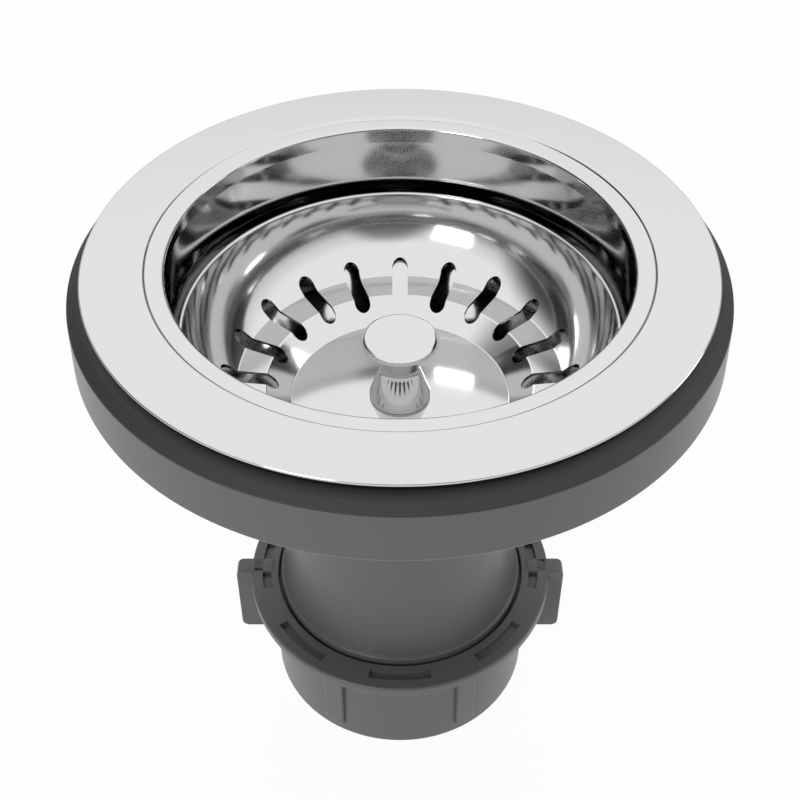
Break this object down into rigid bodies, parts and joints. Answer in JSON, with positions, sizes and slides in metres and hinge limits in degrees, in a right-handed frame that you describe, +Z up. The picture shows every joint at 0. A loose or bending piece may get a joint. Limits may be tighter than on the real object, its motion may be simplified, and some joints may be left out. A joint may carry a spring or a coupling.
{
  "type": "basket strainer waste",
  "caption": "Kitchen sink basket strainer waste: polished steel flange and lift-out slotted basket on a grey plastic body with a winged coupling nut.",
  "frame": {"origin": "on the axis, in the plane of the coupling nut's foot, on which the part stands", "axes": "+Z up the axis, out of the sink's mouth; X through the nut's two wings; -Y towards the viewer of the picture"},
  "size_m": [0.1202, 0.1202, 0.1153],
  "materials": {
    "polished_steel": "mirror polished stainless steel",
    "plain_steel": "turned or pressed stainless steel",
    "brass": "turned brass",
    "black_rubber": "matt moulded rubber",
    "grey_plastic": "satin moulded polypropylene",
    "white_plastic": "plain moulded polyethylene"
  },
  "bodies": {
    "waste": {"sink_flange": "polished_steel", "bowl_wall": "polished_steel", "bowl_cone": "polished_steel", "bowl_floor": "polished_steel", "flange_seal": "black_rubber", "sink_gasket": "black_rubber", "waste_rim": "grey_plastic", "waste_cup": "grey_plastic", "waste_cone": "grey_plastic", "waste_tail": "grey_plastic", "waste_hub": "grey_plastic", "bowl_seal": "black_rubber", "centre_seal": "black_rubber", "threaded_insert": "brass", "screw_washer": "plain_steel", "fixing_screw": "plain_steel"},
    "strainer": {"basket": "polished_steel", "basket_band": "polished_steel", "basket_floor": "polished_steel", "knob": "polished_steel", "basket_stem": "plain_steel", "stem_clip": "plain_steel", "plug_plate": "plain_steel", "plug_seal": "black_rubber", "seal_washer": "plain_steel", "stem_nut": "plain_steel"},
    "gland": {"slip_washer": "white_plastic", "cone_seal": "black_rubber"},
    "nut": {"coupling_nut": "grey_plastic"}
  },
  "joints": [
    {"name": "basket_lift", "type": "slide", "parent": "waste", "child": "strainer", "axis": [0, 0, 1], "range_m": [0, 0.06]},
    {"name": "nut_travel", "type": "slide", "parent": "waste", "child": "gland", "axis": [0, 0, -1], "range_m": [0, 0.0162]},
    {"name": "nut_turn", "type": "hinge", "parent": "gland", "child": "nut", "pos_m": [0, 0, 0.01375], "axis": [0, 0, -1], "range_deg": [0, 2520]}
  ],
  "couplings": [
    {"joint": "nut_travel", "follows": "nut_turn", "m_per_rad": 0.00036749}
  ]
}
